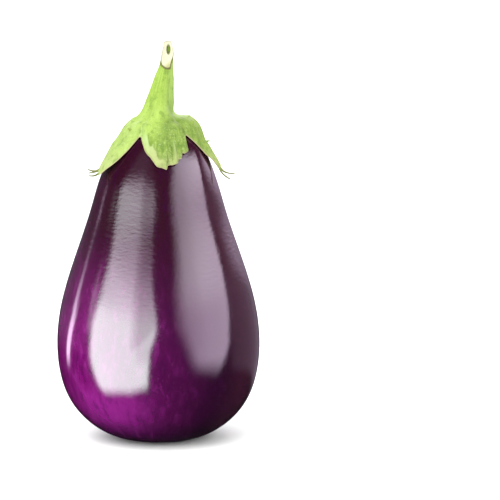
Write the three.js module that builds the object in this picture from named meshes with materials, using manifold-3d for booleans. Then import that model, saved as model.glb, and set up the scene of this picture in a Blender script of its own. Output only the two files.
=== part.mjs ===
// A globe eggplant standing upright: a purple fruit under a green calyx and stem.
// Millimetres, +Z up. The origin is the middle of the flat spot that the fruit rests on.
// Directions round the fruit are in degrees from the front (-Y) towards +X.
import * as THREE from 'three';
import { ParametricGeometry } from 'three/addons/geometries/ParametricGeometry.js';
import { mergeVertices } from 'three/addons/utils/BufferGeometryUtils.js';
import Module from 'manifold-3d';

// Fruit: the outline as [radius, height], from the top down to the flat spot.
const FRUIT_OUTLINE = [
  [0, 157.5], [6, 157.5], [14, 156], [22.5, 146.5], [29.5, 131], [34, 113], [41, 94],
  [49, 70], [52, 47], [48.5, 25], [39.5, 11], [26, 1.8], [16, 0], [12, 0], [0, 0],
];
const NECK_DRIFT = 1.2;
const UNEVENNESS = [0.006, 0.004];
const FRUIT_ROWS = 36;
const FRUIT_COLUMNS = 64;

// Stem: the outline as [radius, height], from its top down to the calyx.
const STEM_OUTLINE = [
  [0, 199], [2.7, 199], [2.6, 197], [2.9, 191], [3.2, 187], [4.8, 182], [5.4, 177],
  [6.4, 172], [7.3, 168], [8, 164.8], [9.6, 162.6],
];
const STEM_LEAN = 4.9;
const STEM_RIB = 0.07;
const STEM_ROWS = 18;

// The slanting cut at the top of the stem, its shallow hollow and the opening in the
// pith: each hollow is an egg shape with its place up the cut and its half sizes.
const CUT_FOOT = [4.1, -2.7, 186.8];
const CUT_SLANT = 19;
const CUT_LEAN = 5;
const CUT_REACH = 20;
const CUT_OVERRUN = 1.2;
const SCOOP = { up: 6, half: [2.2, 0.6, 5.6] };
const PITH = { up: 9.2, half: [0.95, 1.3, 2.7] };

// Calyx: distances run along the fruit's skin, from the middle of its top.
const SKIN_GAP = 0.4;
const CUP_START = 12;
const CUP_END = 25;
const CUP_PUFF = 3.5;
const NOTCH = 17;
const VALLEY = 0.35;
const LEAF_THICKNESS = 1.5;
const RIM_THICKNESS = 0.8;
const RIM_WIDTH = 2.5;
const RIDGE = 0.6;
const GROOVE = 0.4;
const RIPPLE = 0.4;
const CURL_START = 24;
const EDGE_WAVE = 0.5;
const LEAF_ROWS = 12;
const LINING_ROWS = 8;
const HALF_SEPAL_COLUMNS = 12;
const SMALLEST_STEP = 0.03;
// Each sepal: the direction it points in, the notch that follows it, its reach, how
// fully its two sides are filled out, how swollen it is at the cup, how far its tip
// stands off the fruit, how far the stem's foot spreads over it, and whether it is torn.
const SEPALS = [
  { at: 5, notch: 47, reach: 36, before: 1.3, after: 2.6, puff: 2.4, lift: 0.2, flare: 3.4, torn: true },
  { at: 84, notch: 121, reach: 39.5, before: 1, after: 1.3, puff: 4.6, lift: 1.6, flare: -1.1 },
  { at: 155, notch: 188, reach: 37, before: 1.4, after: 1.1, puff: 3.8, lift: 0.8, flare: 0 },
  { at: 222, notch: 253, reach: 39, before: 1.1, after: 1.3, puff: 3.6, lift: 1.5, flare: 0 },
  { at: 288, notch: 326, reach: 41.5, before: 1.2, after: 1.8, puff: 3.9, lift: 2.4, flare: 0 },
];
// The torn sepal's ragged side: how much of its length is missing, place by place
// across it. A negative length is a flap that was pulled out past the edge.
const TEARS = [
  [0.08, 0], [0.11, 2.1], [0.27, 1.5], [0.37, 1.6], [0.4, 3.2], [0.48, 2.2], [0.51, 3.4],
  [0.56, 4.2], [0.59, 2.8], [0.67, 1.5], [0.79, -1], [0.86, 1.6], [0.93, 1.8], [1, 0],
];
// The dry threads: the sepal, and points as [outwards, sideways, up] from its tip.
const THREADS = [
  [1, [-0.8, 0, 2.2], [0.9, 0.2, -1.4], [3.6, 0.6, -3], [7.6, 0.8, -3.2]],
  [1, [-0.8, 0, 2.2], [0.4, -0.3, -1.8], [2.4, -0.9, -4], [5.6, -1.4, -5.8]],
  [3, [-0.8, 0, 2.2], [0.9, 0.2, -0.8], [3.6, 0.6, -1.8], [7.6, 0.8, -1.9]],
  [4, [-1.6, 0, 3.4], [0.4, 0.2, 1.8], [2.8, 0.6, 1.1], [6.2, 0.8, 2.3]],
  [4, [-0.9, 0, 2.6], [0.6, 0.4, 1.4], [2.8, 0.9, 0.9], [5.8, 1.4, 0.6]],
  [4, [-0.8, 0, 1.2], [0.9, -0.3, -0.5], [2.6, -0.9, -1.3], [5.2, -1.4, -1.1]],
];
const THREAD_RADIUS = [0.45, 0.3];
// Short spines on the calyx: the sepal, the place across it and the place along it.
const SPINES = [[1, 0.12, 24.5], [1, -0.5, 15], [2, 0.1, 19], [3, -0.3, 23], [4, 0.5, 17]];
const SPINE_LENGTH = 2.2;
const SPINE_RADIUS = [0.9, 0.2];

class SmoothLine extends THREE.Curve {
  // A line that follows its guide points loosely and bends evenly, without corners.
  constructor(points) {
    super();
    const guides = points.map(([radius, height]) => new THREE.Vector2(radius, height));
    this.guides = [guides[0], guides[0], ...guides, guides.at(-1), guides.at(-1)];
  }

  getPoint(t, target = new THREE.Vector2()) {
    const place = Math.min(t, 1 - 1e-9) * (this.guides.length - 3);
    const first = Math.floor(place);
    const f = place - first;
    const weights = [
      (1 - f) ** 3 / 6,
      (3 * f ** 3 - 6 * f ** 2 + 4) / 6,
      (-3 * f ** 3 + 3 * f ** 2 + 3 * f + 1) / 6,
      f ** 3 / 6,
    ];
    target.set(0, 0);
    weights.forEach((weight, i) => target.addScaledVector(this.guides[first + i], weight));
    return target;
  }
}

const fruitLine = new SmoothLine(FRUIT_OUTLINE);
const fruitLength = fruitLine.getLength();
const lerp = THREE.MathUtils.lerp;
const smooth = THREE.MathUtils.smoothstep;

// Turns an outline point into a place in space, with the sideways drift of the neck and
// stem and the slight unevenness of the belly.
function place(radius, height, degrees, target) {
  const angle = THREE.MathUtils.degToRad(degrees);
  const neck = NECK_DRIFT * smooth(height, 128, 156) * (1 - smooth(height, 156, 166));
  const drift = neck + STEM_LEAN * smooth(height, 165, 198);
  const belly = Math.sin(Math.PI * smooth(height, 0, 140));
  const [oval, threefold] = UNEVENNESS;
  const uneven = oval * Math.cos(2 * angle + 1) + threefold * Math.cos(3 * angle);
  const reach = radius * (1 + belly * uneven);
  const x = reach * Math.sin(angle) + drift;
  const y = -reach * Math.cos(angle);
  return target.set(x, y, height);
}

function fruitPoint(u, v, target) {
  const point = fruitLine.getPointAt(v);
  return place(point.x, point.y, 360 * u, target);
}

// The outline point at a distance along the fruit's skin and a depth above it.
function aboveSkin(distance, depth) {
  const share = distance / fruitLength;
  const point = fruitLine.getPointAt(share);
  const along = fruitLine.getTangentAt(share);
  return [point.x - along.y * depth, point.y + along.x * depth];
}

// How far down the fruit a sepal reaches. across runs from -1 at the notch before it,
// through 0 at its middle, to 1 at the notch after it.
function leafEdge(sepal, across) {
  const fullness = across < 0 ? sepal.before : sepal.after;
  const width = Math.abs(across);
  const blade = NOTCH + (sepal.reach - NOTCH) * (1 - width ** fullness);
  const wave = EDGE_WAVE * Math.sin(17 * across + sepal.at) * (1 - width);
  if (!sepal.torn || across <= TEARS[0][0]) return blade + wave;
  const next = TEARS.findIndex(([at]) => across <= at);
  const [atBefore, missingBefore] = TEARS[next - 1];
  const [atAfter, missingAfter] = TEARS[next];
  const share = (across - atBefore) / (atAfter - atBefore);
  return blade - lerp(missingBefore, missingAfter, share);
}

// How far the underside of a sepal stands off the skin.
function leafLift(sepal, across, distance) {
  const curl = Math.max(0, (distance - CURL_START) / (sepal.reach - CURL_START)) ** 2;
  const onBlade = smooth(distance, NOTCH + 2, NOTCH + 10);
  const ripple = RIPPLE * (1 + Math.sin(7 * across + sepal.at)) * onBlade;
  return SKIN_GAP + sepal.lift * curl + ripple;
}

function leafThickness(sepal, across, distance) {
  const width = Math.abs(across);
  const valley = VALLEY * width ** 3 * smooth(distance, CUP_START - 2, NOTCH);
  const swelling = lerp(sepal.puff, CUP_PUFF, width ** 2);
  const puff = swelling * (1 - smooth(distance, CUP_START + 1, CUP_END)) * (1 - valley);
  const ridge = RIDGE * Math.exp(-((across / 0.14) ** 2));
  const onBlade = smooth(distance, CUP_START, NOTCH + 3);
  const grooves = GROOVE * Math.exp(-(((width - 0.35) / 0.12) ** 2)) * onBlade;
  const inside = smooth(leafEdge(sepal, across) - distance, 0, RIM_WIDTH);
  return lerp(RIM_THICKNESS, LEAF_THICKNESS + puff + ridge - grooves, inside);
}

// The outside runs down the stem and over the calyx to the leaf edge; then the lining
// runs back under the calyx to the top of the fruit.
const totalRows = STEM_ROWS + LEAF_ROWS + LINING_ROWS;
function calyxPoint(u, v, target) {
  const turn = (u % 1) * SEPALS.length;
  const index = Math.floor(turn);
  const sepal = SEPALS[index];
  const across = 2 * (turn - index) - 1;
  const notchBefore = index === 0 ? SEPALS.at(-1).notch - 360 : SEPALS[index - 1].notch;
  const side = across < 0 ? notchBefore : sepal.notch;
  const degrees = lerp(sepal.at, side, Math.abs(across));
  const edge = leafEdge(sepal, across);
  const row = v * totalRows;
  if (row <= STEM_ROWS) {
    const cupTop = SKIN_GAP + leafThickness(sepal, across, CUP_START);
    const flare = sepal.flare * (1 - across ** 2);
    const foot = STEM_OUTLINE.slice(-2).map(([radius, z]) => [radius + flare, z + flare / 3]);
    const guides = [...STEM_OUTLINE.slice(0, -2), ...foot, aboveSkin(CUP_START, cupTop)];
    const line = new SmoothLine(guides);
    const point = line.getPoint(row / STEM_ROWS);
    const rib = 1 + STEM_RIB * Math.cos(Math.PI * across);
    return place(point.x * rib, point.y, degrees, target);
  }
  if (row <= STEM_ROWS + LEAF_ROWS) {
    const distance = lerp(CUP_START, edge, (row - STEM_ROWS) / LEAF_ROWS);
    const depth = leafLift(sepal, across, distance) + leafThickness(sepal, across, distance);
    return place(...aboveSkin(distance, depth), degrees, target);
  }
  const distance = edge * (totalRows - row) / LINING_ROWS;
  return place(...aboveSkin(distance, leafLift(sepal, across, distance)), degrees, target);
}

// A closed surface whose columns are laid clockwise, so that its faces point outwards.
function skin(pointAt, columns, rows) {
  const clockwise = (u, v, target) => pointAt(1 - u, v, target);
  const geometry = new ParametricGeometry(clockwise, columns, rows);
  geometry.deleteAttribute('normal');
  geometry.deleteAttribute('uv');
  return mergeVertices(geometry, 1e-3);
}

// A strand of tapering round section that follows a line of points.
function strand(points, [thick, thin]) {
  const line = new THREE.CatmullRomCurve3(points);
  const rows = points.length > 2 ? 8 : 1;
  const geometry = new THREE.CylinderGeometry(thin, thick, 1, 6, rows);
  const direction = points.at(-1).clone().sub(points[0]).normalize();
  const turn = new THREE.Quaternion().setFromUnitVectors(THREE.Object3D.DEFAULT_UP, direction);
  const corners = geometry.attributes.position;
  for (let i = 0; i < corners.count; i += 1) {
    const offset = new THREE.Vector3(corners.getX(i), 0, corners.getZ(i));
    const corner = line.getPoint(corners.getY(i) + 0.5).add(offset.applyQuaternion(turn));
    corners.setXYZ(i, corner.x, corner.y, corner.z);
  }
  return geometry;
}

const wasm = await Module();
wasm.setup();

function solidOf(geometry) {
  const bare = geometry.clone();
  bare.deleteAttribute('normal');
  bare.deleteAttribute('uv');
  const merged = mergeVertices(bare, 1e-3);
  const mesh = new wasm.Mesh({
    numProp: 3,
    vertProperties: merged.attributes.position.array,
    triVerts: new Uint32Array(merged.index.array),
  });
  return new wasm.Manifold(mesh);
}

function geometryOf(solid) {
  const mesh = solid.getMesh();
  const geometry = new THREE.BufferGeometry();
  geometry.setAttribute('position', new THREE.BufferAttribute(mesh.vertProperties, 3));
  geometry.setIndex(new THREE.BufferAttribute(mesh.triVerts, 1));
  return geometry;
}

// Lays a shape made upright at the cut's foot along the slanting cut.
function onCut(geometry) {
  geometry.rotateY(THREE.MathUtils.degToRad(CUT_LEAN));
  geometry.rotateX(THREE.MathUtils.degToRad(-CUT_SLANT));
  return solidOf(geometry.translate(...CUT_FOOT));
}

function hollow({ up, half }) {
  return onCut(new THREE.SphereGeometry(1, 16, 12).scale(...half).translate(0, 0, up));
}

// The place of a point of the calyx's outside, at a height above its own surface.
function onCalyx(index, across, distance, above) {
  const sepal = SEPALS[index];
  const side = across < 0 ? SEPALS.at(index - 1).notch : sepal.notch;
  const degrees = lerp(sepal.at, side, Math.abs(across));
  const depth = leafLift(sepal, across, distance) + leafThickness(sepal, across, distance);
  return place(...aboveSkin(distance, depth + above), degrees, new THREE.Vector3());
}

const calyxColumns = 2 * HALF_SEPAL_COLUMNS * SEPALS.length;
let calyxSolid = solidOf(skin(calyxPoint, calyxColumns, totalRows));
const cutter = new THREE.BoxGeometry(CUT_REACH, CUT_REACH, CUT_REACH);
cutter.translate(0, -CUT_REACH / 2, CUT_REACH / 2 - CUT_OVERRUN);
calyxSolid = calyxSolid.subtract(onCut(cutter));
calyxSolid = calyxSolid.subtract(hollow(SCOOP)).subtract(hollow(PITH));

THREADS.forEach(([index, ...steps]) => {
  const tip = onCalyx(index, 0, SEPALS[index].reach - 1, -LEAF_THICKNESS / 2);
  const outwards = new THREE.Vector3(tip.x, tip.y, 0).normalize();
  const sideways = new THREE.Vector3(-outwards.y, outwards.x, 0);
  const points = steps.map(([out, aside, up]) => {
    const point = tip.clone().addScaledVector(outwards, out);
    return point.addScaledVector(sideways, aside).setZ(tip.z + up);
  });
  calyxSolid = calyxSolid.add(solidOf(strand(points, THREAD_RADIUS)));
});

SPINES.forEach(([index, across, distance]) => {
  const foot = onCalyx(index, across, distance, -1);
  const tip = onCalyx(index, across, distance, SPINE_LENGTH);
  calyxSolid = calyxSolid.add(solidOf(strand([foot, tip], SPINE_RADIUS)));
});

const fruitGeometry = skin(fruitPoint, FRUIT_COLUMNS, FRUIT_ROWS);
const calyxGeometry = geometryOf(calyxSolid.simplify(SMALLEST_STEP));

const fruit = new THREE.Mesh(
  fruitGeometry,
  new THREE.MeshStandardMaterial({ color: 0x35102f, roughness: 0.2, metalness: 0 }),
);
fruit.name = 'fruit';
const calyx = new THREE.Mesh(
  calyxGeometry,
  new THREE.MeshStandardMaterial({ color: 0x9fc45e, roughness: 0.6, metalness: 0 }),
);
calyx.name = 'calyx_stem';

const eggplant = new THREE.Group();
eggplant.add(fruit, calyx);
export default eggplant;
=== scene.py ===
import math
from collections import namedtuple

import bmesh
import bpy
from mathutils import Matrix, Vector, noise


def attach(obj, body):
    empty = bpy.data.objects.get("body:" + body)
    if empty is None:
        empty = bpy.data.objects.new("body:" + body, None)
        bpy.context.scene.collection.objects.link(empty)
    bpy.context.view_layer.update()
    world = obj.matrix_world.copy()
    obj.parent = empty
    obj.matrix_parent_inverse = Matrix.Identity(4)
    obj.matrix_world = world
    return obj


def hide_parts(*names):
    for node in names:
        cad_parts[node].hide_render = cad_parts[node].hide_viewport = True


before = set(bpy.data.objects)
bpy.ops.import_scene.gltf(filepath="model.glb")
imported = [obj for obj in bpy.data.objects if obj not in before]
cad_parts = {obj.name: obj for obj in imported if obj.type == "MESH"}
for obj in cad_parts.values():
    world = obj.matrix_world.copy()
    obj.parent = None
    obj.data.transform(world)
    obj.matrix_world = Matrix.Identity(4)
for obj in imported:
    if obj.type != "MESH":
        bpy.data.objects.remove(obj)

# %% [markdown]
# # A globe eggplant
# A round purple eggplant stands on its flat blossom end. A green calyx grips its
# shoulders with five sepals, and a stem rises out of the calyx to a slanting knife cut.
# The plain solids of the fruit and of the calyx with its stem are loaded above. This
# lesson gives both their real surfaces, at the same place and size.

scene = bpy.context.scene
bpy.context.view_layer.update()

# %% [markdown]
# ## The camera
# The eggplant is looked at from slightly above, from far enough away that its sides run
# nearly parallel. A long lens does that. The fruit stands left of the middle, and the
# camera turns a little to its right to place it there. Shifting the lens would do the
# same, but the shift would stay when the camera goes round the fruit.

# %% The camera
MM = 0.001
VIEW_WIDTH = 250 * MM
CAMERA_DISTANCE = 1.3
CAMERA_RISE = math.radians(8)
AIM = Vector((45.8 * MM, 0, 94.4 * MM))

camera = bpy.data.objects.new("camera", bpy.data.cameras.new("camera"))
scene.collection.objects.link(camera)
scene.camera = camera
camera.data.lens = camera.data.sensor_width * CAMERA_DISTANCE / VIEW_WIDTH
camera.location = (
    0,
    -CAMERA_DISTANCE * math.cos(CAMERA_RISE),
    AIM.z + CAMERA_DISTANCE * math.sin(CAMERA_RISE),
)
camera.rotation_euler = (AIM - camera.location).to_track_quat("-Z", "Y").to_euler()
print("lens, mm:", round(camera.data.lens))

# %% [markdown]
# ## Writing shaders as sums
# A finish is a net of nodes, and a net is hard to read. One way round that is to build it
# by hand in the editor. Here each output socket is wrapped in a small class, so that
# `1 - mask` or `height * 2` adds the Math node itself and the finish reads as a sum. Every
# other node comes from one method, which makes its settings first and then its sockets.

# %% A socket that can be added and multiplied
class Wire:
    """An output socket. Each operator adds the Math node that works it out."""

    def __init__(self, finish, socket):
        self.finish = finish
        self.socket = socket

    def other(self, name):
        return Wire(self.finish, self.socket.node.outputs[name])

    def __add__(self, value):
        return self.finish.maths("ADD", self, value)

    def __sub__(self, value):
        return self.finish.maths("SUBTRACT", self, value)

    def __rsub__(self, value):
        return self.finish.maths("SUBTRACT", value, self)

    def __mul__(self, value):
        return self.finish.maths("MULTIPLY", self, value)

    def __truediv__(self, value):
        return self.finish.maths("DIVIDE", self, value)

    def __pow__(self, value):
        return self.finish.maths("POWER", self, value)

    __radd__ = __add__
    __rmul__ = __mul__


print("a wire knows: + - * / **")

# %% A finish: a net of nodes and the one way to add to it
class Finish:
    """The nodes of a material or of the room round the eggplant."""

    def __init__(self, tree):
        self.tree = tree
        tree.nodes.clear()

    def node(self, kind, settings=None, sockets=None, output=0):
        made = self.tree.nodes.new(kind)
        for name, value in (settings or {}).items():
            setattr(made, name, value)
        for name, value in (sockets or {}).items():
            if isinstance(value, Wire):
                self.tree.links.new(value.socket, made.inputs[name])
            else:
                made.inputs[name].default_value = value
        return Wire(self, made.outputs[output]) if len(made.outputs) else None

    def maths(self, operation, *values):
        return self.node("ShaderNodeMath", {"operation": operation}, dict(enumerate(values)))

    def ease(self, value, start, end):
        """Rises smoothly from 0 at start to 1 at end."""
        settings = {"interpolation_type": "SMOOTHSTEP"}
        sockets = {"Value": value, "From Min": start, "From Max": end}
        return self.node("ShaderNodeMapRange", settings, sockets)

    def mix(self, share, first, second):
        """Goes from the first colour to the second as the share goes from 0 to 1."""
        settings = {"data_type": "RGBA"}
        first, second = [c if isinstance(c, Wire) else (*c, 1) for c in (first, second)]
        return self.node("ShaderNodeMix", settings, {0: share, 6: first, 7: second}, 2)

    def noise(self, place, scale, detail=2.0, roughness=0.5):
        """A cloudy pattern with its middle at 0.5."""
        sockets = {"Vector": place, "Scale": scale, "Detail": detail, "Roughness": roughness}
        return self.node("ShaderNodeTexNoise", {}, sockets)


def new_material(name):
    material = bpy.data.materials.new(name)
    material.use_nodes = True
    return material, Finish(material.node_tree)


print("helpers ready")

# %% [markdown]
# ## The room
# Shiny skin shows the room that it stands in. A studio has large soft boxes with dark
# gaps between them, and the skin draws them out into tall pale bands. Lamps could be set
# up for each box. Here the room is painted by direction instead, since the bands then
# keep their places when the eggplant is scaled. Azimuth runs from the camera's side
# towards the right, and elevation upwards. Round the two large boxes come fainter things:
# a pale wall far to the right, thin strips of light far to the left, a haze low down, a
# box behind and the ceiling. What the gloss mirrors and what falls softly on the eggplant
# are given their own strengths, and the camera sees plain white.

# %% Directions in the room, in degrees
world = bpy.data.worlds.new("studio")
world.use_nodes = True
world.cycles.sampling_method = "NONE"
scene.world = world
scene.view_settings.view_transform = "Standard"

room = Finish(world.node_tree)
direction = room.node("ShaderNodeTexCoord", {}, {}, "Generated")
east = room.node("ShaderNodeSeparateXYZ", {}, {"Vector": direction})
front = 0 - east.other("Y")
degree = 180 / math.pi
azimuth = room.maths("ARCTAN2", east, front) * degree
elevation = room.maths("ARCSINE", east.other("Z")) * degree


def between(value, low, high, edge=4):
    """1 from low to high, falling softly to 0 outside them."""
    return room.ease(value, low - edge, low + edge) * (1 - room.ease(value, high - edge, high + edge))


def below(level):
    """How many degrees a direction lies under a level."""
    return room.maths("MAXIMUM", level - elevation, 0)


def over(level):
    """How many degrees a direction lies over a level."""
    return room.maths("MAXIMUM", elevation - level, 0)


print("nodes that find the direction:", len(room.tree.nodes))

# %% The large soft box on the left
left_edge = room.ease(azimuth - 0.2 * below(-10) - 0.35 * over(5), -88, -79)
step_in = 9 * (1 - room.ease(elevation, -10, 10)) + 0.2 * below(-12) + 0.5 * over(15)
right_edge = 1 - room.ease(azimuth + step_in, -2.5, 4.5)
corner = 0.12 * room.maths("ABSOLUTE", azimuth + 40)
foot_edge = room.ease(elevation - corner, -44, -31)
far_left = room.maths("MAXIMUM", -45 - azimuth, 0)
head_edge = 1 - 0.88 * room.ease(elevation + corner + 0.15 * far_left, 29, 41)
left_box = left_edge * right_edge * foot_edge * head_edge
fold_shadow = room.ease(azimuth, -38, -28) * (1 - room.ease(azimuth - 2 * elevation, -25, -15))
far_side = room.ease(azimuth, -30, -22) * room.ease(elevation, -20, -8)
brightness = 9.2 - 3.4 * room.ease(elevation, 8, 26) - 3 * room.ease(elevation, 20, 36)
dim_side = (1 - room.ease(azimuth, -80, -50)) * between(elevation, 14, 22, 2)
left_box = left_box * brightness * (1 - 0.28 * fold_shadow) * (1 - 0.2 * far_side)
left_box = left_box * (1 - 0.2 * dim_side)
print("nodes with the left box:", len(room.tree.nodes))

# %% The dimmer soft box on the right
left_edge = room.ease(azimuth - 0.5 * below(10) - 0.7 * over(26), 18, 40)
right_edge = 1 - room.ease(azimuth - 0.5 * over(0) - 0.5 * over(14) + 0.6 * below(-3), 84, 91)
right_box = left_edge * right_edge * room.ease(elevation, -25, -9)
brightness = 2.4 + 1.1 * room.ease(azimuth, 30, 65) + 0.8 * room.ease(elevation, 10, 28)
brightness = brightness + room.ease(azimuth, 45, 85) * room.ease(elevation, 12, 25)
right_box = right_box * brightness * (1 - room.ease(elevation + 0.38 * azimuth, 62, 76))
print("nodes with both boxes:", len(room.tree.nodes))

# %% The haze, the pale wall and the strips of light
haze = between(azimuth, 92, 165, 5) * between(elevation, -17, 15, 3) * 0.2
haze = haze + between(azimuth, -170, -90, 5) * between(elevation, -8, 18, 4) * 0.1
wall = room.ease(azimuth, 104, 126) * (1.3 - 0.9 * room.ease(azimuth, 132, 160))
wall = wall * (1 - room.ease(elevation, 15, 24))
wall = wall * room.ease(elevation + 0.33 * (azimuth - 100), 15, 22) * (1 - room.ease(azimuth, 168, 176))
strip = between(azimuth - 0.7 * elevation, -122, -114, 2) * between(elevation, -13, 5, 4)
strip = strip * (5 - 3 * room.ease(elevation, -2, 6))
strip_top = between(azimuth, -122, -116, 2.5) * room.ease(elevation, 0, 5)
strip = strip + strip_top * 3.2 * (1 - room.ease(elevation, 3, 15))
side_strip = between(azimuth, -90, -85, 3) * between(elevation, 2, 17, 4) * 1.5
print("nodes with what stands beside the boxes:", len(room.tree.nodes))

# %% What the gloss mirrors from behind and above
DARK_GAPS = 0.012

behind = room.maths("WRAP", azimuth + 180, 180, -180)
back_box = between(behind, -42, 28, 6) * between(elevation, 16, 56, 6) * 5
ceiling = room.ease(elevation, 66, 75) * 2
mirrored = left_box + right_box + haze + wall + strip + side_strip + back_box + ceiling
mirrored = mirrored + DARK_GAPS
lilac = room.mix(room.ease(elevation, 5, 30), (1, 0.78, 1.04), (1, 0.87, 1.03))
lilac = room.mix(room.ease(elevation, 34, 8) * between(azimuth, -95, 0), lilac, (0.86, 0.97, 0.92))
print("nodes with all that is mirrored:", len(room.tree.nodes))

# %% What falls softly on everything, and what the camera sees
SEEN_WHITE = 1.3
KEY_ENERGY = 40
KEY_PLACE = Vector((-0.6, -1.3, 1.9))
KEY_AIM = Vector((0, 0, 0.1))

from_left = 0.5 - 0.5 * east
from_front = room.ease(front, -0.3, 0.9) * (1 - room.ease(elevation, 20, 60))
soft_fill = 1.2 + 1.1 * from_left + 2.0 * from_front + 0.7 * room.ease(elevation, -10, 60)
ray = room.node("ShaderNodeLightPath", {}, {}, "Is Glossy Ray")
camera_ray = ray.other("Is Camera Ray")
strength = soft_fill + ray * (mirrored - soft_fill)
strength = strength + camera_ray * (SEEN_WHITE - strength)
background = room.node(
    "ShaderNodeBackground", {}, {"Color": room.mix(ray, (1, 1, 1), lilac), "Strength": strength}
)
room.node("ShaderNodeOutputWorld", {}, {"Surface": background})
scene.cycles.caustics_reflective = False

key = bpy.data.objects.new("key", bpy.data.lights.new("key", "AREA"))
scene.collection.objects.link(key)
key.data.shape = "RECTANGLE"
key.data.size, key.data.size_y = 1.2, 1.6
key.data.energy = KEY_ENERGY
key.location = KEY_PLACE
key.rotation_euler = (KEY_AIM - KEY_PLACE).to_track_quat("-Z", "Y").to_euler()
key.visible_glossy = False
print("room lit, key lamp, W:", key.data.energy)

# %% [markdown]
# ## The floor
# The eggplant rests on a plain pale table top that runs out of sight. A flat sheet is
# enough. It is left out of mirrored rays, so the soft boxes reach down the skin to the
# belly, as they do where the boxes stand on the floor close by.

# %% The floor
FLOOR_HALF = 14

table = bmesh.new()
bmesh.ops.create_grid(table, x_segments=1, y_segments=1, size=FLOOR_HALF)
floor_mesh = bpy.data.meshes.new("floor")
table.to_mesh(floor_mesh)
table.free()
floor = bpy.data.objects.new("floor", floor_mesh)
scene.collection.objects.link(floor)
floor.visible_glossy = False

floor_material, paper = new_material("pale_table")
spot = paper.node("ShaderNodeTexCoord", {}, {}, "Object")
grain = paper.noise(spot, 240, 3)
shell = paper.node(
    "ShaderNodeBsdfPrincipled",
    {},
    {
        "Base Color": paper.mix(grain, (0.69, 0.705, 0.69), (0.72, 0.735, 0.72)),
        "Roughness": 0.7,
    },
)
paper.node("ShaderNodeOutputMaterial", {}, {"Surface": shell})
floor_mesh.materials.append(floor_material)
print("floor, m:", floor.dimensions.x)

# %% [markdown]
# ## The outlines
# The fruit and the stem are both nearly round, so each is one outline carried round an
# upright axis. The outline follows a few guide points loosely, which bends it evenly
# without corners. Nearly the same measures made the plain model, so these fit it. Lengths
# are in millimetres until a point is placed.

# %% A line that bends evenly
def smooth(value, start, end):
    share = min(max((value - start) / (end - start), 0), 1)
    return share * share * (3 - 2 * share)


def lerp(first, second, share):
    return first + (second - first) * share


class SmoothLine:
    """A line that follows its guide points loosely, measured along its own length."""

    def __init__(self, guides, steps=0):
        guides = [Vector(guide) for guide in guides]
        self.guides = [guides[0]] * 2 + guides + [guides[-1]] * 2
        if steps:
            self.measure(steps)

    def at(self, share):
        place = min(max(share, 0), 1 - 1e-9) * (len(self.guides) - 3)
        first = int(place)
        f = place - first
        weights = (
            (1 - f) ** 3 / 6,
            (3 * f**3 - 6 * f**2 + 4) / 6,
            (-3 * f**3 + 3 * f**2 + 3 * f + 1) / 6,
            f**3 / 6,
        )
        point = Vector((0,) * len(self.guides[0]))
        for weight, guide in zip(weights, self.guides[first:]):
            point += weight * guide
        return point

    def measure(self, steps):
        """Lays points along the line at even distances."""
        fine = [self.at(step / (4 * steps)) for step in range(4 * steps + 1)]
        lengths = [0]
        for before, after in zip(fine, fine[1:]):
            lengths.append(lengths[-1] + (after - before).length)
        self.length, self.points, place = lengths[-1], [], 0
        for step in range(steps + 1):
            distance = self.length * step / steps
            while place < len(fine) - 2 and lengths[place + 1] < distance:
                place += 1
            gap = max(lengths[place + 1] - lengths[place], 1e-12)
            share = min((distance - lengths[place]) / gap, 1)
            self.points.append(fine[place].lerp(fine[place + 1], share))

    def along(self, distance):
        """The point at a distance from the start, and the direction of the line there."""
        steps = len(self.points) - 1
        place = min(max(distance / self.length * steps, 0), steps - 1e-6)
        before, after = self.points[int(place)], self.points[int(place) + 1]
        return before.lerp(after, place % 1), (after - before).normalized()


bend = SmoothLine(((0, 0), (1, 1), (2, 0)))
print("a bend past the guide (1, 1) passes through", [round(side, 2) for side in bend.at(0.5)])

# %% The outlines, and where their points go
FRUIT_OUTLINE = (
    (0, 157.5), (6, 157.5), (14, 156), (22.5, 146.5), (29.5, 131), (34, 113), (41, 94),
    (49, 70), (52, 47), (48.5, 25), (39.5, 11), (26, 1.8), (16, 0), (12, 0), (0, 0),
)
STEM_OUTLINE = (
    (0, 199), (2.7, 199), (2.7, 197), (3, 191), (3.2, 187), (4.5, 182), (5.2, 177),
    (6.1, 172), (7, 168), (7.8, 164.8), (9.6, 162.6),
)
NECK_DRIFT = 1.2
STEM_LEAN = 5.2
OVAL, THREEFOLD = 0.006, 0.004
fruit_line = SmoothLine(FRUIT_OUTLINE, 600)


def place(radius, height, degrees):
    """The point in metres, with the drift of the neck and stem and the uneven belly."""
    angle = math.radians(degrees)
    neck = NECK_DRIFT * smooth(height, 128, 156) * (1 - smooth(height, 156, 166))
    drift = neck + STEM_LEAN * smooth(height, 158, 198)
    belly = math.sin(math.pi * smooth(height, 0, 140))
    uneven = OVAL * math.cos(2 * angle + 1) + THREEFOLD * math.cos(3 * angle)
    reach = radius * (1 + belly * uneven)
    x = reach * math.sin(angle) + drift
    return Vector((x, -reach * math.cos(angle), height)) * MM


print("skin from top to foot, mm:", round(fruit_line.length, 1))

# %% [markdown]
# ## The fruit
# The fruit is a smooth swollen pear shape. It could be sculpted from a ball. Its outline
# is known, so a single point is pulled down along it instead, and the line it leaves is
# spun round the axis. Then the neck drifts, and the belly gets the slight flutes and
# dimples that bend its reflections. They fade out at the flat foot that it rests on.

# %% Spin the outline
FRUIT_ROWS = 160
FRUIT_COLUMNS = 192

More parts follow.
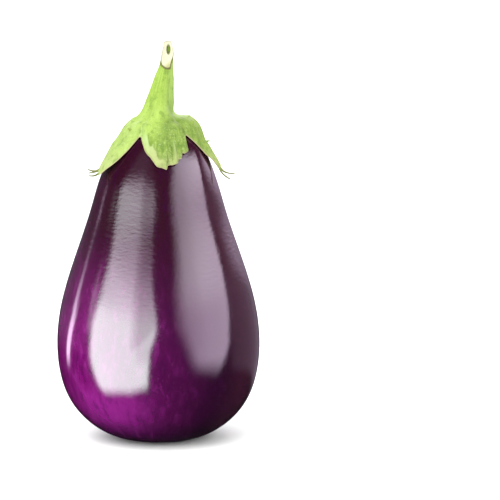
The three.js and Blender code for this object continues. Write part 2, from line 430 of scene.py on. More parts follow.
fruit = bmesh.new()
pulled = fruit.verts.new((0, 0, FRUIT_OUTLINE[0][1]))
for row in range(1, FRUIT_ROWS + 1):
    point, _ = fruit_line.along(fruit_line.length * row / FRUIT_ROWS)
    pulled = bmesh.ops.extrude_vert_indiv(fruit, verts=[pulled])["verts"][0]
    pulled.co = (0, -point.x, point.y)
bmesh.ops.spin(
    fruit, geom=fruit.verts[:] + fruit.edges[:], axis=(0, 0, 1), cent=(0, 0, 0),
    angle=2 * math.pi, steps=FRUIT_COLUMNS, use_merge=True,
)
bmesh.ops.remove_doubles(fruit, verts=fruit.verts, dist=1e-4)
bmesh.ops.recalc_face_normals(fruit, faces=fruit.faces)
print("fruit faces:", len(fruit.faces))

# %% Let the neck drift and the belly swell unevenly
FLUTE = 0.16
DIMPLE = 0.1
DIMPLE_SIZE = 16


def waviness(height, degrees):
    """How far the skin stands out of its even shape, in millimetres."""
    angle = math.radians(degrees)
    flutes = math.cos(5 * angle + 0.7) + 0.6 * math.cos(9 * angle + 2.1)
    around = Vector((50 * math.sin(angle), 50 * math.cos(angle), 0.6 * height)) / DIMPLE_SIZE
    body = smooth(height, 6, 40) * (1 - smooth(height, 150, 157))
    return body * (FLUTE * flutes * (1 - 0.6 * smooth(height, 30, 120)) + DIMPLE * noise.noise(around))


for vertex in fruit.verts:
    x, y, height = vertex.co
    degrees = math.degrees(math.atan2(x, -y))
    vertex.co = place(math.hypot(x, y) + waviness(height, degrees), height, degrees)

# %% [markdown]
# ## The skin
# The skin is thin, waxed and nearly black at the shoulders, and it clears to magenta where
# the belly is full. It is paler on the left and front and darker on the right. This is
# partly its own tone and partly painted light and shade from the lamps on the left. A
# painted glow of light from the floor brightens it low in front. Fine streaks run down it.
# A picture could be wrapped round the fruit, but it would have a seam. Colours mixed by
# height and direction, with noise stretched down the fruit, have none. The wax is a clear
# coat over slightly duller skin, and it is thinner on the neck.

# %% The skin's colours
skin_material, skin = new_material("eggplant_skin")
spot = skin.node("ShaderNodeTexCoord", {}, {}, "Object")
x = skin.node("ShaderNodeSeparateXYZ", {}, {"Vector": spot})
y, height = x.other("Y"), x.other("Z") / MM
outwards = (x * x + y * y + 1e-8) ** 0.5
east, front = x / outwards, (0 - y) / outwards
clouds = skin.noise(spot, 28, 3)
wander = skin.noise(spot, 90, 2) - 0.5
streak_place = skin.node(
    "ShaderNodeCombineXYZ",
    {},
    {"X": east + wander * 0.10, "Y": front + wander * 0.10, "Z": height * 0.008},
)
streaks = skin.noise(streak_place, 13, 5, 0.65)
specks = skin.noise(spot, 900, 2)

# Painted light and shade, partly the skin's own tone: paler magenta facing the lamps on the left and
# front, darker facing away on the right.
facing = front * 0.37 - east * 0.93 + (clouds - 0.5) * 0.5
lit_and_paler_side = skin.maths("MAXIMUM", (facing + 0.4) / 1.4, 0) ** 2
lowness = 1 - skin.ease(height + (clouds - 0.5) * 24, 44, 114)
darker_and_shaded = skin.mix(lowness, (0.014, 0.0015, 0.0065), (0.008, 0.0006, 0.0065))
pale = skin.mix(lowness, (0.012, 0.0013, 0.005), (0.095, 0.0015, 0.0725))
pale = skin.mix(1 - skin.ease(height, 3, 20), pale, (0.0425, 0.0005, 0.039))
colour = skin.mix(lit_and_paler_side, darker_and_shaded, pale)
# Painted shade: the left edge of the belly and neck is darker.
painted_shade_left_limb = skin.ease(0 - east, 0.7, 0.95) * skin.ease(height, 42, 78)
colour = skin.mix(painted_shade_left_limb * 0.35, colour, (0.02, 0.0008, 0.011))
# Partly painted reflection: the right side turns a greyer brown, standing in for a dim brownish
# surround mirrored there, as well as the skin's own tone.
colour = skin.mix(skin.ease(east, 0.55, 0.95) * 0.6, colour, (0.03, 0.0065, 0.014))
# Painted light: a brighter magenta glow low on the front and left, where light from the pale floor
# falls on the belly.
painted_floor_glow = skin.ease(front + clouds * 0.3, 0.5, 0.95) * (1 - skin.ease(east, -0.5, 0.15))
painted_floor_glow = painted_floor_glow * skin.ease(height, 5, 18) * (1 - skin.ease(height, 24, 36))
colour = skin.mix(painted_floor_glow * 0.5, colour, (0.19, 0.012, 0.165))
# The bright streaks gather on the same paler, painted-light side.
vivid = lowness * lit_and_paler_side
colour = skin.mix(skin.ease(streaks, 0.5, 0.68) * vivid * 0.6, colour, (0.155, 0.012, 0.13))
colour = skin.mix(skin.ease(streaks, 0.5, 0.34) * 0.4, colour, (0.0175, 0.0005, 0.017))
colour = skin.mix(skin.ease(specks, 0.62, 0.75) * 0.16 * lowness, colour, (0.15, 0.04, 0.13))
print("nodes that colour the skin:", len(skin.tree.nodes))

# %% The skin's wax and its fine relief
scar = 1 - skin.ease(outwards / MM, 3.0, 6.5)
scar = scar * (1 - skin.ease(height, 1, 3))
colour = skin.mix(scar, colour, (0.15, 0.1, 0.055))
pores = skin.noise(spot, 750, 2)
ripple_place = skin.node(
    "ShaderNodeCombineXYZ", {}, {"X": east * 0.3, "Y": front * 0.3, "Z": height * 0.022}
)
ripples = skin.noise(ripple_place, 34, 2) * skin.ease(height + (clouds - 0.5) * 60, 50, 100)
relief = streaks * 0.4 + clouds * 0.3 + pores * 0.35 + ripples * (0.3 + 1.1 * clouds)
bump = skin.node("ShaderNodeBump", {}, {"Strength": 0.25, "Distance": 0.0004, "Height": relief})
wax = 1 - 0.62 * skin.ease(height, 78, 118) + 0.3 * east * skin.ease(height, 90, 118)
shell = skin.node(
    "ShaderNodeBsdfPrincipled",
    {},
    {
        "Base Color": colour,
        "Roughness": 0.10 + 0.06 * pores + 0.4 * scar,
        "Normal": bump,
        "Coat Weight": wax,
        "Coat Roughness": 0.06,
    },
)
skin.node("ShaderNodeOutputMaterial", {}, {"Surface": shell})
print("nodes of the whole skin:", len(skin.tree.nodes))

# %% Make the fruit an object
def new_piece(name, shape, *materials):
    """Makes the finished shape an object at the origin, with its faces shaded smooth."""
    mesh = bpy.data.meshes.new(name)
    shape.to_mesh(mesh)
    shape.free()
    for material in materials:
        mesh.materials.append(material)
    mesh.shade_smooth()
    piece = bpy.data.objects.new(name, mesh)
    scene.collection.objects.link(piece)
    return piece


fruit_piece = new_piece("fruit_skin", fruit, skin_material)
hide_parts("fruit")
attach(fruit_piece, "root")
print("fruit, mm:", [round(1000 * side, 1) for side in fruit_piece.dimensions])

# %% [markdown]
# ## The calyx and its stem
# The calyx is a thick green cap that hugs the shoulders and ends in five sepals, and the
# stem grows out of it without a joint. Each sepal could be its own leaf, but they grow
# together at the cup. So one grid is wrapped round the eggplant like a sleeve: its rows
# run down the stem, over the cup to the leaf edges, and back up underneath as the lining.

# %% The measures of the calyx
SKIN_GAP = 0.4
CUP_START, CUP_END, CUP_PUFF = 12, 25, 3.5
NOTCH, VALLEY, EDGE_RAGGED = 17, 0.35, 0.35
LEAF_THICKNESS, RIM_THICKNESS, RIM_WIDTH = 1.5, 0.8, 2.5
RIDGE, RIDGE_WIDTH, RIPPLE = 0.6, 0.14, 0.4
GROOVE, GROOVE_PLACE, GROOVE_WIDTH = 0.4, 0.35, 0.12
CURL_START, EDGE_WAVE = 24, 0.5
# Places across the torn lobe, each with the length that is missing there.
TEARS = (
    (0.08, 0), (0.11, 2.1), (0.27, 1.5), (0.37, 1.6), (0.4, 3.2), (0.48, 2.2), (0.51, 3.4),
    (0.56, 4.2), (0.59, 2.8), (0.67, 1.5), (0.79, -1), (0.86, 1.6), (0.93, 1.8), (1, 0),
)
STEM_RIB, BARK_RELIEF, BARK_GRAIN = 0.07, 0.22, 0.06

# A sepal points in one direction, between two notches. It reaches so far down the skin,
# narrows before and after its middle, swells on the cup, lifts at its tip, and flares the
# foot of the stem.
Sepal = namedtuple("Sepal", "at notch_before notch reach before after puff lift flare torn")
SEPALS = (
    Sepal(5, -34, 47, 36, 1.3, 2.6, 2.4, 0.2, 3.4, True),
    Sepal(84, 47, 121, 39.5, 1, 1.3, 4.6, 1.6, -1.1, False),
    Sepal(155, 121, 188, 37, 1.4, 1.1, 3.8, 0.8, 0, False),
    Sepal(222, 188, 253, 39, 1.1, 1.3, 3.6, 1.5, 0, False),
    Sepal(288, 253, 326, 41.5, 1.2, 1.8, 2.1, 2.2, 0, False),
)


def direction_of(sepal, across):
    """The direction in degrees of a place across a sepal, from -1 to 1."""
    return lerp(sepal.at, sepal.notch_before if across < 0 else sepal.notch, abs(across))


print("sepals:", len(SEPALS), "longest, mm:", max(sepal.reach for sepal in SEPALS))

# %% How far down a sepal reaches
def leaf_edge(sepal, across):
    fullness = sepal.before if across < 0 else sepal.after
    width = abs(across)
    blade = NOTCH + (sepal.reach - NOTCH) * (1 - width**fullness)
    wave = EDGE_WAVE * math.sin(17 * across + sepal.at) * (1 - width)
    ragged = EDGE_RAGGED * noise.noise(Vector((9 * across, sepal.at, 0))) * (1 - width**4)
    if not sepal.torn or across < TEARS[0][0]:
        return blade + wave + ragged
    for (place_before, missing_before), (place_after, missing_after) in zip(TEARS, TEARS[1:]):
        if across <= place_after:
            break
    share = (across - place_before) / (place_after - place_before)
    return blade + 0.3 * ragged - lerp(missing_before, missing_after, share)


def from_edge(sepal, across, distance):
    """How far inside the leaf edge a place lies, straight to the edge."""
    step = 0.01
    side = abs((sepal.notch_before if across < 0 else sepal.notch) - sepal.at)
    radius = fruit_line.along(distance)[0].x
    arc = 2 * step * math.radians(side) * radius
    low, high = max(across - step, -1), min(across + step, 1)
    slope = (leaf_edge(sepal, high) - leaf_edge(sepal, low)) / arc
    return (leaf_edge(sepal, across) - distance) / math.hypot(1, slope)


edges = [round(leaf_edge(SEPALS[0], across), 1) for across in (-0.8, -0.4, 0, 0.4, 0.8)]
print("down the skin to the edge of the torn lobe, mm:", edges)

# %% How thick a sepal is, and how far it stands off the skin
FOLD, CREASE, CREASE_WIDTH = 0.55, 0.8, 0.035
CREASE_PLACE, CREASE_RIDGE_PLACE = 0.24, 0.31
VEINS, VEIN, CRUMPLE = 9, 0.05, 0.35


def leaf_lift(sepal, across, distance):
    curl = max(0, (distance - CURL_START) / (sepal.reach - CURL_START)) ** 2
    ripple = RIPPLE * (1 + math.sin(7 * across + sepal.at))
    return SKIN_GAP + sepal.lift * curl + ripple * smooth(distance, NOTCH + 2, NOTCH + 10)


def folded_margin(sepal, across, inside):
    """1 along the turned-up margin on the torn sepal's whole side, and 0 elsewhere."""
    if not sepal.torn or across > 0.05:
        return 0
    side = smooth(-across, -0.05, 0.12)
    return side * smooth(inside, 0.2, 0.9) * (1 - smooth(inside, 3, 4))


def creased(sepal, beside, distance):
    """1 on a line down the blade of the torn sepal, and 0 some way beside it."""
    return sepal.torn * math.exp(-((beside / CREASE_WIDTH) ** 2)) * smooth(distance, 20, 26)


def leaf_thickness(sepal, across, distance):
    width = abs(across)
    valley = VALLEY * width**3 * smooth(distance, CUP_START - 2, NOTCH)
    swelling = lerp(sepal.puff, CUP_PUFF, width**2)
    puff = swelling * (1 - smooth(distance, CUP_START + 1, CUP_END)) * (1 - valley)
    ridge = RIDGE * math.exp(-((across / RIDGE_WIDTH) ** 2))
    on_blade = smooth(distance, CUP_START, NOTCH + 3)
    grooves = GROOVE * math.exp(-(((width - GROOVE_PLACE) / GROOVE_WIDTH) ** 2)) * on_blade
    crumple = Vector((8 * across, 0.09 * distance, sepal.at))
    veins = VEIN * math.cos(math.pi * VEINS * across) * on_blade
    veins += CRUMPLE * (noise.noise(crumple) + 0.5 * noise.noise(crumple * 2.3)) * on_blade
    inside = from_edge(sepal, across, distance)
    fold = FOLD * folded_margin(sepal, across, inside) * smooth(distance, NOTCH, NOTCH + 7)
    whole = LEAF_THICKNESS + puff + ridge - grooves + veins + fold
    whole -= CREASE * creased(sepal, across - CREASE_PLACE, distance)
    whole += 0.6 * CREASE * creased(sepal, across - CREASE_RIDGE_PLACE, distance)
    thickness = lerp(RIM_THICKNESS, whole, smooth(inside, 0, RIM_WIDTH))
    return thickness * lerp(0.5, 1, smooth(inside, 0, 0.45) ** 0.5)


middle = [round(leaf_thickness(SEPALS[0], 0, distance), 1) for distance in (15, 20, 25, 30)]
print("thickness down the middle of the torn lobe, mm:", middle)

# %% Where each point of the sleeve goes
STEM_ROWS, LEAF_ROWS, LINING_ROWS = 100, 76, 20
ALL_ROWS = STEM_ROWS + LEAF_ROWS + LINING_ROWS
SEPAL_COLUMNS = 76


def above_skin(distance, depth):
    point, along = fruit_line.along(distance)
    return point.x - along.y * depth, point.y + along.x * depth


def leaf_point(sepal, across, distance, above=0):
    """A point of the calyx's outside, or above it."""
    depth = leaf_lift(sepal, across, distance) + leaf_thickness(sepal, across, distance)
    return place(*above_skin(distance, depth + above), direction_of(sepal, across))


stem_lines = {}


def stem_point(index, across, share):
    """A point of the stem, at a share of the way from its top down to the cup."""
    sepal = SEPALS[index]
    if (index, across) not in stem_lines:
        cup_top = SKIN_GAP + leaf_thickness(sepal, across, CUP_START)
        flare = (1 - across**2) * sepal.flare
        foot = [(radius + flare, height + flare / 3) for radius, height in STEM_OUTLINE[-2:]]
        guides = (*STEM_OUTLINE[:-2], *foot, above_skin(CUP_START, cup_top))
        stem_lines[index, across] = SmoothLine(guides)
    radius, height = stem_lines[index, across].at(share)
    degrees = direction_of(sepal, across)
    rib = 1 + STEM_RIB * math.cos(math.pi * across)
    around = Vector((math.sin(math.radians(degrees)), math.cos(math.radians(degrees)), height / 40))
    bark = BARK_RELIEF * noise.noise(around * 3.1) + BARK_GRAIN * noise.noise(around * 14)
    bark *= smooth(radius, 0, 2.5)
    return place(radius * rib + bark, height, degrees)


print("top of the stem, mm:", [round(side / MM, 1) for side in stem_point(0, 0, 0)])

# %% [markdown]
# ## Threads and spines
# The side sepals dry out into thin curling threads, and a few blunt spines stand on the
# ribs. Both are tapering strands. A curve with a thickness would do, but it would be a
# separate object. A small ring is pulled along a line of points instead, as part of the
# same shape as the sleeve.

# %% A shape for the calyx, whose points carry what the finish has to know
calyx = bmesh.new()
for name in ("rim", "lining", "fold", "deep", "dry", "aside", "ahead", "down", "wood", "pith", "bark"):
    calyx.verts.layers.float.new(name)
layers = calyx.verts.layers.float.values()
rim, lining, fold, deep, dry, aside, ahead, down, wood, pith, bark = layers
FAR_FROM_RIM = 12


def pull_ring(ring):
    """Extrudes a ring of edges, and returns the new ring's edges and points."""
    pulled = bmesh.ops.extrude_edge_only(calyx, edges=ring)["geom"]
    new_ring = [part for part in pulled if isinstance(part, bmesh.types.BMEdge)]
    return new_ring, [part for part in pulled if isinstance(part, bmesh.types.BMVert)]


print("each point carries:", calyx.verts.layers.float.keys())

# %% Strands along a line of points
# A thread's sepal, then its steps out, to the side and up from the sepal's tip, in mm.
THREADS = (
    (1, (-0.8, 0, 2.2), (0.9, 0.2, -1.4), (3.6, 0.6, -3), (7.6, 0.8, -3.2)),
    (1, (-0.8, 0, 2.2), (0.4, -0.3, -1.8), (2.4, -0.9, -4), (5.6, -1.4, -5.8)),
    (3, (-0.8, 0, 2.2), (0.9, 0.2, -0.8), (3.6, 0.6, -1.8), (7.6, 0.8, -1.9)),
    (4, (-1.6, 0, 3.4), (0.4, 0.2, 1.8), (2.8, 0.6, 1.1), (6.2, 0.8, 2.3)),
    (4, (-0.9, 0, 2.6), (0.6, 0.4, 1.4), (2.8, 0.9, 0.9), (5.8, 1.4, 0.6)),
    (4, (-0.8, 0, 1.2), (0.9, -0.3, -0.5), (2.6, -0.9, -1.3), (5.2, -1.4, -1.1)),
)
THREAD_RADIUS, THREAD_STEPS = (0.6, 0.32), 14
# A spine's sepal, its place across it, and its distance down the skin in mm.
SPINES = ((1, 0.12, 24.5), (1, -0.5, 15), (2, 0.1, 19), (3, -0.3, 23), (4, 0.5, 17))
SPINE_LENGTH, SPINE_RADIUS, SPINE_STEPS, SPINE_DROOP = 2.6, (1.1, 0.12), 6, 1.1
STRAND_SIDES = 10


def strand(points, radii, steps, dryness):
    """A tapering strand: a small ring pulled along the line, closed at both ends."""
    line = SmoothLine(points, 60)
    centre, facing = line.along(0)
    radius = radii[0]
    upright = Vector((0, 0, 1)).rotation_difference(facing).to_matrix().to_4x4()
    verts = bmesh.ops.create_circle(
        calyx, cap_ends=True, segments=STRAND_SIDES, radius=radius * MM,
        matrix=Matrix.Translation(centre) @ upright,
    )["verts"]
    for vertex in verts:
        vertex[rim] = FAR_FROM_RIM
    ring = list({edge for vertex in verts for edge in vertex.link_edges})
    for step in range(1, steps + 1):
        ring, verts = pull_ring(ring)
        point, along = line.along(line.length * step / steps)
        turn = facing.rotation_difference(along)
        thinner = lerp(*radii, step / steps) / radius
        for vertex in verts:
            vertex.co = point + turn @ (vertex.co - centre) * thinner
            vertex[dry] = dryness * smooth(step / steps, 0.05, 0.5)
        centre, facing, radius = point, along, radius * thinner
    bmesh.ops.contextual_create(calyx, geom=ring)


print("threads:", len(THREADS), "spines:", len(SPINES))

# %% Threads at the tips and spines on the ribs
for index, *steps in THREADS:
    tip = leaf_point(SEPALS[index], 0, SEPALS[index].reach - 1, -LEAF_THICKNESS / 2)
    out = Vector((tip.x, tip.y, 0)).normalized()
    side = Vector((-out.y, out.x, 0))
    points = [tip + (out * a + side * b + Vector((0, 0, c))) * MM for a, b, c in steps]
    strand(points, THREAD_RADIUS, THREAD_STEPS, 1)
for index, across, distance in SPINES:
    foot, head = (leaf_point(SEPALS[index], across, distance, h) for h in (-1, SPINE_LENGTH))
    bent = foot.lerp(head, 0.6) - Vector((0, 0, 0.2 * MM))
    tip = head - Vector((0, 0, SPINE_DROOP * MM))
    strand((foot, bent, tip), SPINE_RADIUS, SPINE_STEPS, 0.3)
print("faces of the strands:", len(calyx.faces))

# %% [markdown]
# ## The sleeve
# The stem, the cup and the sepals share one unbroken skin. They could be modelled one by
# one and joined, but the joints would show. Here every point of one flat grid is sent to
# its place by its row and its column. The step from the stem to the cup is smoothed
# afterwards, since a real calyx has no such edge.

# %% Wrap the grid into the sleeve
# Where the painted light by the notch left of the torn lobe is centred, and its width, in degrees.
PALE_NOTCH, PALE_WIDTH = -40, 9
STEM_DOWN = 40
LEAF_SPACING, LINING_SPACING = 1.35, 0.8

strands = set(calyx.verts)
sleeve = bmesh.ops.create_grid(
    calyx, x_segments=SEPAL_COLUMNS * len(SEPALS), y_segments=ALL_ROWS, size=1,
)["verts"]
for vertex in sleeve:
    column = round((vertex.co.x + 1) / 2 * SEPAL_COLUMNS * len(SEPALS))
    row = round((1 - vertex.co.y) / 2 * ALL_ROWS)
    index = column // SEPAL_COLUMNS % len(SEPALS)
    across = 2 * (column % SEPAL_COLUMNS) / SEPAL_COLUMNS - 1
    sepal = SEPALS[index]
    edge = leaf_edge(sepal, across)
    degrees = direction_of(sepal, across)
    vertex[aside], vertex[ahead] = math.sin(math.radians(degrees)), math.cos(math.radians(degrees))
    if row <= STEM_ROWS:
        vertex[rim] = FAR_FROM_RIM
        vertex[down] = CUP_START - STEM_DOWN * (1 - row / STEM_ROWS)
        vertex.co = stem_point(index, across, row / STEM_ROWS)
    elif row <= STEM_ROWS + LEAF_ROWS:
        share = (row - STEM_ROWS) / LEAF_ROWS
        distance = lerp(CUP_START, edge, 1 - (1 - share) ** LEAF_SPACING)
        inside = from_edge(sepal, across, distance)
        vertex[rim] = min(inside, FAR_FROM_RIM)
        vertex[down] = distance
        # Painted light: a pale patch beside the notch left of the torn lobe, where it faces the lamps,
        # and a pale line on the crease's ridge. The turned-up margin is paler too.
        pale = math.exp(-(((degrees - PALE_NOTCH) / PALE_WIDTH) ** 2)) * smooth(distance, 11, 17)
        folded = folded_margin(sepal, across, inside) * smooth(distance, 16, 22)
        ridge = 0.7 * creased(sepal, across - CREASE_RIDGE_PLACE, distance)
        vertex[fold] = max(folded, ridge, pale)
        vertex.co = leaf_point(sepal, across, distance)
    else:
        distance = edge * ((ALL_ROWS - row) / LINING_ROWS) ** LINING_SPACING
        vertex[down] = distance
        vertex[rim] = min(edge - distance, FAR_FROM_RIM)
        vertex[lining] = 1
        vertex.co = place(*above_skin(distance, leaf_lift(sepal, across, distance)), degrees)
    vertex[deep] = smooth(degrees, -30, -8) * (1 - 0.8 * smooth(degrees, 48, 95))
bmesh.ops.remove_doubles(calyx, verts=sleeve, dist=1e-6)
bmesh.ops.recalc_face_normals(calyx, faces=calyx.faces)
open_edges = [edge for edge in calyx.edges if not edge.is_manifold]
print("calyx faces:", len(calyx.faces), "open edges:", len(open_edges))

# %% Soften the step from the stem to the cup, most of all in front
SHOULDER_PASSES, SHOULDER_REACH = 3, 2
LOBE_PASSES, LOBE_REACH = 12, 7
LOBE_BANDS = (0.5, 0.62, 0.74, 0.86)

outside = [v for v in calyx.verts if v not in strands and not v[lining]]
shoulder = [v for v in outside if abs(v[down] - CUP_START) < SHOULDER_REACH]
softened = [(SHOULDER_PASSES, shoulder)]
for nearest in LOBE_BANDS:
    lobe = [v for v in outside if abs(v[down] - CUP_START) < LOBE_REACH and v[ahead] > nearest]
    softened.append((LOBE_PASSES, lobe))
for passes, verts in softened:
    for _ in range(passes):
        bmesh.ops.smooth_vert(
            calyx, verts=verts, factor=0.5, use_axis_x=True, use_axis_y=True, use_axis_z=True,
        )
print("points softened in each group:", [len(verts) for _, verts in softened])

# %% [markdown]
# ## The knife cut
# The stem was cut off on a slant, so its end is a long pale oval in a thin rim of bark,
# with a soft dark pith near the top and a rounded step where the knife stopped. A boolean
# with a box would leave ragged faces. A few planes cut the stem cleanly, and the open edge
# is drawn inwards in rings, which are then pressed in to hollow the wood.

# %% Cut the stem on a slant
CUT_FOOT = Vector((4.75, -2.3, 186.8)) * MM
CUT_SLANT = math.radians(19)
STEM_END_START = 178
# The rounded step where the knife stopped: each plane's lean in degrees, and its drop in mm.
CUT_STEPS = ((5, 1.8), (28, 1.85), (-20, 1.85), (55, 1.9), (-47, 1.9))
cut_out = Vector((0, -math.cos(CUT_SLANT), math.sin(CUT_SLANT)))
cut_up = Vector((0, math.sin(CUT_SLANT), math.cos(CUT_SLANT)))
stem_end = (Vector((0, 0, STEM_END_START * MM)), Vector((0, 0, 1)))
cut_steps = []
for lean, drop in CUT_STEPS:
    up = Matrix.Rotation(math.radians(lean), 3, cut_out) @ cut_up
    cut_steps.append((CUT_FOOT - up * drop * MM, up))


def lowest(point, planes):
    """How far a point stands above the nearest of some planes."""
    return min((point - foot).dot(up) for foot, up in planes)


def bisect_above(limits, plane, clear):
    """Cuts the part of the stem that is above all the limits by a plane."""
    faces = {face for face in calyx.faces if lowest(face.calc_center_median(), limits) > 0}
    edges = {edge for face in faces for edge in face.edges}
    verts = {v for face in faces for v in face.verts if lowest(v.co, limits) > 1e-7}
    bmesh.ops.bisect_plane(
        calyx, geom=[*verts, *edges, *faces], dist=1e-7,
        plane_co=plane[0], plane_no=plane[1], clear_outer=clear,
    )


for cut_step in cut_steps:
    bisect_above([stem_end], cut_step, False)
bisect_above(cut_steps, (CUT_FOOT, cut_out), True)
for vertex in calyx.verts:
    if lowest(vertex.co, [stem_end]) > 0:
        off_the_cut = -lowest(vertex.co, [*cut_steps, (CUT_FOOT, cut_out)]) / MM
        vertex[bark] = (1 - smooth(off_the_cut, 0.15, 0.6)) * (1 - smooth(vertex.co.z, 0.192, 0.197))
ring = [edge for edge in calyx.edges if edge.is_boundary]
print("edges round the cut:", len(ring))

# %% Draw the open edge inwards and hollow the wood
CUT_RINGS = 26
PITH_PLACE, PITH_HALF, PITH_DEPTH = Vector((0.7, 8.5)), Vector((1.1, 2.8)), 2.0
SCOOP_DEPTH, BARK_LIP = 0.5, 0.12

ring_verts = list({vertex for edge in ring for vertex in edge.verts})
middle_of_cut = sum((vertex.co for vertex in ring_verts), Vector()) / len(ring_verts)
cut_rings = []
for step in range(1, CUT_RINGS + 1):
    ring, ring_verts = pull_ring(ring)
    before, after = 1 - (step - 1) / CUT_RINGS, 1 - step / CUT_RINGS
    share = max(after, 1e-4) / before
    bmesh.ops.scale(
        calyx, vec=(share,) * 3, space=Matrix.Translation(-middle_of_cut), verts=ring_verts,
    )
    cut_rings.append((after, ring_verts))

for share, ring_verts in cut_rings:
    for vertex in ring_verts:
        from_foot = (vertex.co - CUT_FOOT) / MM
        stand_out = from_foot.dot(cut_out) * (1 - smooth(share, 0.8, 1))
        flat = Vector((from_foot.x, from_foot.dot(cut_up))) - PITH_PLACE
        oval = math.hypot(flat.x / PITH_HALF.x, flat.y / PITH_HALF.y)
        vertex[pith] = 1 - smooth(oval, 0.75, 1.15)
        vertex[wood] = 1 - smooth(share, 0.87, 0.95)
        depth = SCOOP_DEPTH * (1 - smooth(share, 0.35, 0.95)) + BARK_LIP * vertex[wood]
        depth += PITH_DEPTH * (1 - smooth(oval, 0.35, 1)) + stand_out
        vertex.co -= cut_out * depth * MM
        vertex[rim] = FAR_FROM_RIM
bmesh.ops.remove_doubles(calyx, verts=cut_rings[-1][1], dist=1e-5)
bmesh.ops.recalc_face_normals(calyx, faces=calyx.faces)
print("open edges:", sum(not edge.is_manifold for edge in calyx.edges))

# %% [markdown]
# ## The green of the calyx
# The calyx is fresh and matt: light green with darker fibres running down it, deeper on
# the torn lobe, with a thin cream rim where the flesh shows at the edge, and dry olive
# threads. A picture could be painted on the unwrapped sleeve, but it would blur close up.
# Mixed colours stay sharp. They follow the leaves, not space, so the sleeve carries its
# own direction and length, how far each point is from the rim, and what it belongs to.

# %% Where the green is fibrous, mottled or deep
green_material, green = new_material("calyx_green")
spot = green.node("ShaderNodeTexCoord", {}, {}, "Object")


def carried(finish, name):
    """A value that the piece's own points carry."""
    settings = {"attribute_type": "GEOMETRY", "attribute_name": name}
    return finish.node("ShaderNodeAttribute", settings, {}, "Fac")


rim_distance = carried(green, "rim")
length_down = carried(green, "down")
blotches = green.noise(spot, 320, 4, 0.6)
specks = green.noise(spot, 1300, 2)
fibre_place = green.node(
    "ShaderNodeCombineXYZ",
    {},
    {
        "X": carried(green, "aside") + blotches * 0.05,
        "Y": carried(green, "ahead"),
        "Z": length_down * 0.014,
    },
)
leaf_fibres = green.noise(fibre_place, 19, 5, 0.65)
stem_fibres = green.noise(fibre_place, 6, 5, 0.65)
on_leaf = green.ease(length_down, 6, 18)
fibres = stem_fibres + on_leaf * (leaf_fibres - stem_fibres)
mottle = green.ease(fibres * 0.6 + blotches * 0.4, 0.32, 0.66)
patches = green.noise(spot, 120, 2) - 0.5
deep_start = length_down + carried(green, "aside") * 24 + (fibres - 0.5) * 26 + patches * 14
deep_green = carried(green, "deep") * green.ease(deep_start, 8, 21)
print("nodes that sort the green:", len(green.tree.nodes))

# %% The greens, the pale rim and the dry threads
colour = green.mix(mottle, (0.115, 0.185, 0.0195), (0.185, 0.262, 0.045))
colour = green.mix(green.ease(fibres, 0.56, 0.72) * 0.4, colour, (0.22, 0.285, 0.085))
leaf = green.mix(mottle, (0.0525, 0.0975, 0.01), (0.1325, 0.1925, 0.035))
colour = green.mix(deep_green, colour, leaf)
# Painted light: the cup and the foot of the stem are made paler, as if more light fell on them.
painted_light_on_cup = green.ease(length_down, -6, 5) * (1 - green.ease(length_down, 14, 24)) * (1 - deep_green)
colour = green.mix(painted_light_on_cup * 0.35, colour, (0.2, 0.285, 0.062))
drying = green.ease(length_down + (blotches - 0.5) * 12, 25, 38)
colour = green.mix(drying * 0.6, colour, (0.235, 0.25, 0.105))
# Partly painted light: the leaves on the left, facing the lamps, are paler.
paler_and_lit_left_leaves = green.ease(0 - carried(green, "aside"), 0.2, 0.8) * on_leaf
colour = green.mix(paler_and_lit_left_leaves * 0.35, colour, (0.21, 0.27, 0.095))
# Painted light: the right side of the stem is made paler, as if lit from the right.
painted_light_stem_right = green.ease(carried(green, "aside"), 0, 0.9) * (1 - green.ease(length_down, 4, 12))
colour = green.mix(painted_light_stem_right * (0.3 + 0.5 * fibres), colour, (0.21, 0.305, 0.075))
colour = green.mix(green.ease(blotches, 0.46, 0.33) * 0.55, colour, (0.08, 0.13, 0.02))
colour = green.mix(green.ease(specks, 0.58, 0.70) * 0.4, colour, (0.07, 0.11, 0.02))
colour = green.mix(green.ease(specks, 0.42, 0.32) * 0.35 * on_leaf, colour, (0.26, 0.32, 0.16))
margin = green.mix(green.ease(length_down, 20, 31), (0.225, 0.3, 0.12), (0.21, 0.235, 0.095))
# The fold colour covers the turned-up margin and the painted light by the left notch and on the
# crease's ridge.
colour = green.mix(carried(green, "fold") * 0.85, colour, margin)
colour = green.mix(carried(green, "lining") * 0.6, colour, (0.18, 0.215, 0.105))
colour = green.mix(1 - green.ease(rim_distance, 0.05, 0.4), colour, (0.25, 0.21, 0.12))
colour = green.mix(carried(green, "bark") * 0.9, colour, (0.06, 0.06, 0.014))
colour = green.mix(carried(green, "dry"), colour, (0.105, 0.11, 0.035))
print("nodes with all the greens:", len(green.tree.nodes))

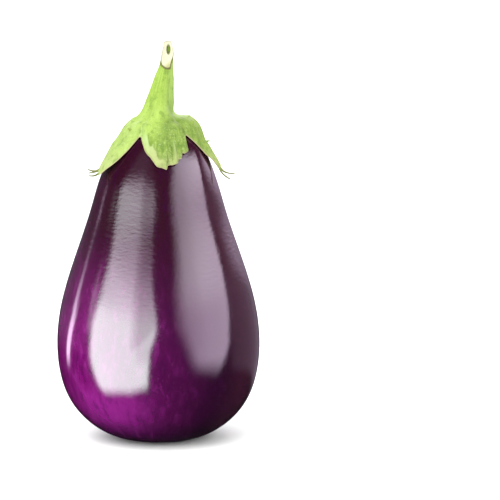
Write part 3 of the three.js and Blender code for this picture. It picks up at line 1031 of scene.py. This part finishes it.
# %% The green's fine relief
bump = green.node(
    "ShaderNodeBump",
    {},
    {"Strength": 0.5, "Distance": 0.0003, "Height": fibres * 0.8 + blotches * 0.4 + specks * 0.2},
)
shell = green.node(
    "ShaderNodeBsdfPrincipled",
    {},
    {
        "Base Color": colour,
        "Roughness": 0.45 + 0.2 * blotches,
        "Specular IOR Level": 0.15,
        "Normal": bump,
    },
)
green.node("ShaderNodeOutputMaterial", {}, {"Surface": shell})
print("nodes of the whole green:", len(green.tree.nodes))

# %% The finish of the cut wood
wood_material, cut = new_material("cut_wood")
spot = cut.node("ShaderNodeTexCoord", {}, {}, "Object")
fibres = cut.noise(spot, 1800, 3)
inner = carried(cut, "wood")
x = cut.node("ShaderNodeSeparateXYZ", {}, {"Vector": spot})
height = x.other("Z") / MM
colour = cut.mix(fibres, (0.28, 0.275, 0.175), (0.33, 0.325, 0.245))
# The cut is darker and yellower towards its foot and its right.
darker_lower_right = 1 - cut.ease(height - (x / MM - CUT_FOOT.x / MM) * 0.8, 186, 189)
colour = cut.mix(darker_lower_right, colour, (0.21, 0.21, 0.085))
bark_rim = cut.mix(cut.ease(height, 192, 197), (0.055, 0.05, 0.012), (0.2, 0.195, 0.12))
colour = cut.mix(inner, bark_rim, colour)
colour = cut.mix(carried(cut, "pith"), colour, (0.135, 0.15, 0.055))
bump = cut.node("ShaderNodeBump", {}, {"Strength": 0.5, "Distance": 0.0002, "Height": fibres})
shell = cut.node(
    "ShaderNodeBsdfPrincipled",
    {},
    {"Base Color": colour, "Roughness": 0.6 + 0.2 * fibres, "Normal": bump},
)
cut.node("ShaderNodeOutputMaterial", {}, {"Surface": shell})
print("nodes of the cut wood:", len(cut.tree.nodes))

# %% Make the calyx and its stem an object
SHARP_FROM = math.radians(55)

cut_verts = {vertex for _, ring_verts in cut_rings for vertex in ring_verts if vertex.is_valid}
for face in calyx.faces:
    if any(vertex in cut_verts for vertex in face.verts):
        face.material_index = 1

calyx_piece = new_piece("calyx_and_stem", calyx, green_material, wood_material)
calyx_piece.data.set_sharp_from_angle(angle=SHARP_FROM)
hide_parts("calyx_stem")
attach(calyx_piece, "root")
print("calyx and stem, mm:", [round(1000 * side, 1) for side in calyx_piece.dimensions])
